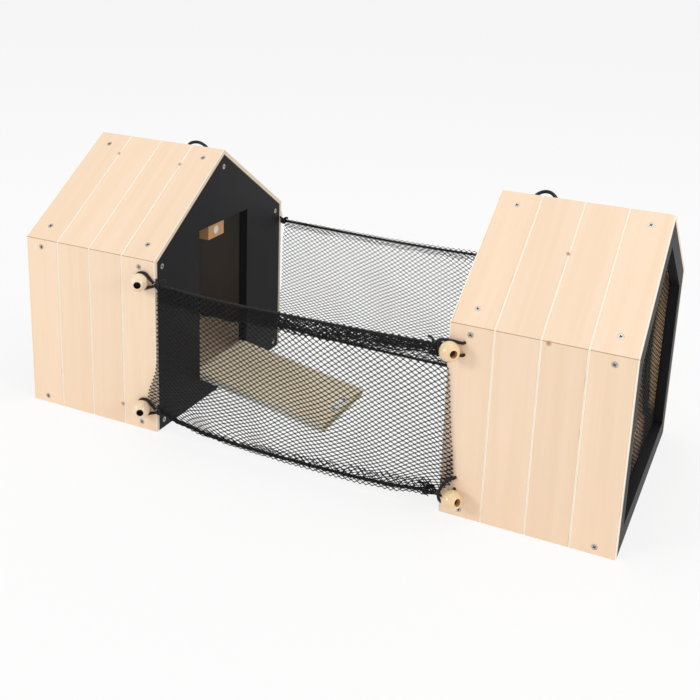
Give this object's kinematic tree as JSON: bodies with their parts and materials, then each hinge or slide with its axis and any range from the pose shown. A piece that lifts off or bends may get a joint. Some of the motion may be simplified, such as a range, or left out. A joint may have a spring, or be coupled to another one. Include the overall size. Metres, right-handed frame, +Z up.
{
  "type": "toy rabbit hutch",
  "caption": "Toy rabbit hutch: grooved plywood houses with black gables, joined by a net run on elastic loops and wooden beads, with a ramp that folds up to a magnet catch.",
  "frame": {"origin": "centre of the footprint on the floor, midway along the run", "axes": "+X along the run towards the sliding house, +Y to the back, +Z up"},
  "size_m": [0.548, 0.2642, 0.2425],
  "materials": {
    "plywood": "satin clear coat",
    "black_panel": "black lacquer",
    "carcass_wood": "planed, bare",
    "bead_wood": "turned, waxed",
    "screw_steel": "zinc plated",
    "magnet_steel": "nickel plated",
    "net": "black knotless net",
    "cord": "black braided elastic"
  },
  "bodies": {
    "left_house": {"left_front_wall": "plywood", "left_back_wall": "plywood", "left_front_roof": "plywood", "left_back_roof": "plywood", "left_corner_posts": "carcass_wood", "left_ridge_batten": "carcass_wood", "left_floor": "plywood", "left_floor_bearers": "carcass_wood", "left_window_frame": "black_panel", "left_window_net": "net", "left_wall_screws": "screw_steel", "left_roof_screws": "screw_steel", "left_gable_screws": "screw_steel", "left_carry_loop": "cord", "door_panel": "black_panel", "hinge_pins": "screw_steel", "door_stop_block": "carcass_wood", "catch_magnet": "magnet_steel", "left_beads": "bead_wood", "left_bead_screws": "screw_steel", "left_net_loops": "cord", "left_net_knots": "cord", "front_net": "net", "back_net": "net", "front_net_cords": "cord", "back_net_cords": "cord"},
    "ramp": {"ramp_board": "plywood", "catch_plate": "screw_steel", "catch_plate_screws": "screw_steel"},
    "right_house": {"right_front_wall": "plywood", "right_back_wall": "plywood", "right_front_roof": "plywood", "right_back_roof": "plywood", "right_corner_posts": "carcass_wood", "right_ridge_batten": "carcass_wood", "right_floor": "plywood", "right_floor_bearers": "carcass_wood", "right_window_frame": "black_panel", "right_window_net": "net", "right_wall_screws": "screw_steel", "right_roof_screws": "screw_steel", "right_gable_screws": "screw_steel", "right_carry_loop": "cord", "run_frame": "black_panel", "toggle_loops": "cord", "toggle_beads": "bead_wood", "toggle_cords": "cord", "right_net_knots": "cord"}
  },
  "joints": [
    {"name": "ramp_hinge", "type": "hinge", "parent": "left_house", "child": "ramp", "pos_m": [-0.1385, 0, 0.0266], "axis": [0, -1, 0], "range_deg": [0, 99.6]},
    {"name": "house_slide", "type": "slide", "parent": "left_house", "child": "right_house", "axis": [-1, 0, 0], "range_m": [0, 0.13], "deforming": ["front_net", "back_net", "front_net_cords", "back_net_cords"]}
  ]
}
